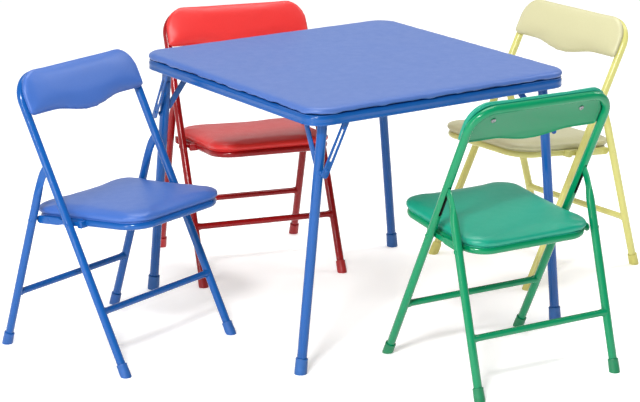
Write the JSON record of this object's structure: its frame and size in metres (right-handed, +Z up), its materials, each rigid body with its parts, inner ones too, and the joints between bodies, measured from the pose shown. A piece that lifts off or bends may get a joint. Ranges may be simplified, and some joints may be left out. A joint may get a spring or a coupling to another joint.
{
  "type": "kids table and chairs",
  "caption": "Square padded folding table on splayed tube legs with padded folding tube-frame chairs set round it.",
  "frame": {"origin": "on the floor under the middle of the whole set's bounding box", "axes": "+X along the table edge that the green chair faces, to its right-hand end; +Y from the green chair towards the red chair; +Z up"},
  "size_m": [1.3752, 1.1772, 0.5437],
  "materials": {
    "board": "raw board, hidden under the vinyl",
    "table_vinyl": "fine-grained upholstery vinyl, satin",
    "blue_paint": "powder-coated steel tube, semi-gloss with light orange peel",
    "blue_vinyl": "fine-grained upholstery vinyl, satin",
    "blue_cap": "moulded non-slip foot cap, matt",
    "red_paint": "powder-coated steel tube, semi-gloss with light orange peel",
    "red_vinyl": "fine-grained upholstery vinyl, satin",
    "red_cap": "moulded non-slip foot cap, matt",
    "green_paint": "powder-coated steel tube, semi-gloss with light orange peel",
    "green_vinyl": "fine-grained upholstery vinyl, satin",
    "green_cap": "moulded non-slip foot cap, matt",
    "yellow_paint": "powder-coated steel tube, semi-gloss with light orange peel",
    "yellow_vinyl": "fine-grained upholstery vinyl, satin",
    "yellow_cap": "moulded non-slip foot cap, matt",
    "zinc": "zinc-plated screw and rivet heads"
  },
  "bodies": {
    "table": {"table_frame": "blue_paint", "table_board": "board", "table_top": "table_vinyl"},
    "table_leg_front": {"table_leg_front": "blue_paint", "leg_gusset_front": "blue_paint", "table_foot_front": "blue_cap"},
    "leg_brace_front": {"leg_brace_front": "blue_paint"},
    "table_leg_right": {"table_leg_right": "blue_paint", "leg_gusset_right": "blue_paint", "table_foot_right": "blue_cap"},
    "leg_brace_right": {"leg_brace_right": "blue_paint"},
    "table_leg_back": {"table_leg_back": "blue_paint", "leg_gusset_back": "blue_paint", "table_foot_back": "blue_cap"},
    "leg_brace_back": {"leg_brace_back": "blue_paint"},
    "table_leg_left": {"table_leg_left": "blue_paint", "leg_gusset_left": "blue_paint", "table_foot_left": "blue_cap"},
    "leg_brace_left": {"leg_brace_left": "blue_paint"},
    "blue_chair": {"blue_back_frame": "blue_paint", "blue_backrest_pad": "blue_vinyl", "blue_backrest_panel": "blue_paint", "blue_foot_front_left": "blue_cap", "blue_foot_front_right": "blue_cap"},
    "blue_seat": {"blue_seat_frame": "blue_paint", "blue_seat_pad": "blue_vinyl"},
    "blue_rear_legs": {"blue_rear_frame": "blue_paint", "blue_foot_rear_left": "blue_cap", "blue_foot_rear_right": "blue_cap"},
    "red_chair": {"red_back_frame": "red_paint", "red_backrest_pad": "red_vinyl", "red_backrest_panel": "red_paint", "red_foot_front_left": "red_cap", "red_foot_front_right": "red_cap"},
    "red_seat": {"red_seat_frame": "red_paint", "red_seat_pad": "red_vinyl"},
    "red_rear_legs": {"red_rear_frame": "red_paint", "red_foot_rear_left": "red_cap", "red_foot_rear_right": "red_cap"},
    "green_chair": {"green_back_frame": "green_paint", "green_backrest_pad": "green_vinyl", "green_backrest_panel": "green_paint", "green_foot_front_left": "green_cap", "green_foot_front_right": "green_cap"},
    "green_seat": {"green_seat_frame": "green_paint", "green_seat_pad": "green_vinyl"},
    "green_rear_legs": {"green_rear_frame": "green_paint", "green_foot_rear_left": "green_cap", "green_foot_rear_right": "green_cap"},
    "yellow_chair": {"yellow_back_frame": "yellow_paint", "yellow_backrest_pad": "yellow_vinyl", "yellow_backrest_panel": "yellow_paint", "yellow_foot_front_left": "yellow_cap", "yellow_foot_front_right": "yellow_cap"},
    "yellow_seat": {"yellow_seat_frame": "yellow_paint", "yellow_seat_pad": "yellow_vinyl"},
    "yellow_rear_legs": {"yellow_rear_frame": "yellow_paint", "yellow_foot_rear_left": "yellow_cap", "yellow_foot_rear_right": "yellow_cap"}
  },
  "joints": [
    {"name": "table_leg_front_fold", "type": "hinge", "parent": "table", "child": "table_leg_front", "pos_m": [-0.24986, -0.25006, 0.4816], "axis": [0, -1, 0], "range_deg": [0, 92]},
    {"name": "leg_brace_front_swing", "type": "hinge", "parent": "table", "child": "leg_brace_front", "pos_m": [-0.21096, -0.27386, 0.483], "axis": [0, -1, 0], "range_deg": [0, 108]},
    {"name": "table_leg_right_fold", "type": "hinge", "parent": "table", "child": "table_leg_right", "pos_m": [0.27924, -0.23876, 0.4816], "axis": [1, 0, 0], "range_deg": [0, 92]},
    {"name": "leg_brace_right_swing", "type": "hinge", "parent": "table", "child": "leg_brace_right", "pos_m": [0.30304, -0.19986, 0.483], "axis": [1, 0, 0], "range_deg": [0, 108]},
    {"name": "table_leg_back_fold", "type": "hinge", "parent": "table", "child": "table_leg_back", "pos_m": [0.26794, 0.29034, 0.4816], "axis": [0, 1, 0], "range_deg": [0, 92]},
    {"name": "leg_brace_back_swing", "type": "hinge", "parent": "table", "child": "leg_brace_back", "pos_m": [0.22904, 0.31414, 0.483], "axis": [0, 1, 0], "range_deg": [0, 108]},
    {"name": "table_leg_left_fold", "type": "hinge", "parent": "table", "child": "table_leg_left", "pos_m": [-0.26116, 0.27904, 0.4816], "axis": [-1, 0, 0], "range_deg": [0, 92]},
    {"name": "leg_brace_left_swing", "type": "hinge", "parent": "table", "child": "leg_brace_left", "pos_m": [-0.28496, 0.24014, 0.483], "axis": [-1, 0, 0], "range_deg": [0, 108]},
    {"name": "blue_chair_draw_back", "type": "slide", "parent": "table", "child": "blue_chair", "axis": [-0.3123, 0.95, 0], "range_m": [0, 0.35]},
    {"name": "blue_seat_fold", "type": "hinge", "parent": "blue_chair", "child": "blue_seat", "pos_m": [-0.47827, 0.08374, 0.269], "axis": [-0.95, -0.3123, 0], "range_deg": [0, 111.9]},
    {"name": "blue_rear_leg_fold", "type": "hinge", "parent": "blue_chair", "child": "blue_rear_legs", "pos_m": [-0.47534, 0.07483, 0.36203], "axis": [-0.95, -0.3123, 0], "range_deg": [0, 41.6]},
    {"name": "red_chair_draw_back", "type": "slide", "parent": "table", "child": "red_chair", "axis": [0.2487, 0.9686, 0], "range_m": [0, 0.6]},
    {"name": "red_seat_fold", "type": "hinge", "parent": "red_chair", "child": "red_seat", "pos_m": [0.00464, 0.37532, 0.269], "axis": [-0.9686, 0.2487, 0], "range_deg": [0, 111.9]},
    {"name": "red_rear_leg_fold", "type": "hinge", "parent": "red_chair", "child": "red_rear_legs", "pos_m": [0.00231, 0.36624, 0.36203], "axis": [-0.9686, 0.2487, 0], "range_deg": [0, 41.6]},
    {"name": "green_chair_draw_back", "type": "slide", "parent": "table", "child": "green_chair", "axis": [-0.0593, -0.9982, 0], "range_m": [0, 0.35]},
    {"name": "green_seat_fold", "type": "hinge", "parent": "green_chair", "child": "green_seat", "pos_m": [0.04656, -0.39913, 0.269], "axis": [0.9982, -0.0593, 0], "range_deg": [0, 111.9]},
    {"name": "green_rear_leg_fold", "type": "hinge", "parent": "green_chair", "child": "green_rear_legs", "pos_m": [0.04712, -0.38976, 0.36203], "axis": [0.9982, -0.0593, 0], "range_deg": [0, 41.6]},
    {"name": "yellow_chair_draw_back", "type": "slide", "parent": "table", "child": "yellow_chair", "axis": [0.9996, 0.0279, 0], "range_m": [0, 0.35]},
    {"name": "yellow_seat_fold", "type": "hinge", "parent": "yellow_chair", "child": "yellow_seat", "pos_m": [0.50268, 0.05436, 0.269], "axis": [-0.0279, 0.9996, 0], "range_deg": [0, 111.9]},
    {"name": "yellow_rear_leg_fold", "type": "hinge", "parent": "yellow_chair", "child": "yellow_rear_legs", "pos_m": [0.49331, 0.0541, 0.36203], "axis": [-0.0279, 0.9996, 0], "range_deg": [0, 41.6]}
  ],
  "couplings": [
    {"joint": "leg_brace_front_swing", "follows": "table_leg_front_fold", "ratio": 1.1735},
    {"joint": "leg_brace_right_swing", "follows": "table_leg_right_fold", "ratio": 1.1735},
    {"joint": "leg_brace_back_swing", "follows": "table_leg_back_fold", "ratio": 1.1735},
    {"joint": "leg_brace_left_swing", "follows": "table_leg_left_fold", "ratio": 1.1735},
    {"joint": "blue_rear_leg_fold", "follows": "blue_seat_fold", "ratio": 0.3717},
    {"joint": "red_rear_leg_fold", "follows": "red_seat_fold", "ratio": 0.3717},
    {"joint": "green_rear_leg_fold", "follows": "green_seat_fold", "ratio": 0.3717},
    {"joint": "yellow_rear_leg_fold", "follows": "yellow_seat_fold", "ratio": 0.3717},
    {"joint": "red_chair_draw_back", "follows": "table_leg_back_fold", "m_per_rad": 0.37},
    {"joint": "green_chair_draw_back", "follows": "table_leg_front_fold", "m_per_rad": 0.08}
  ]
}
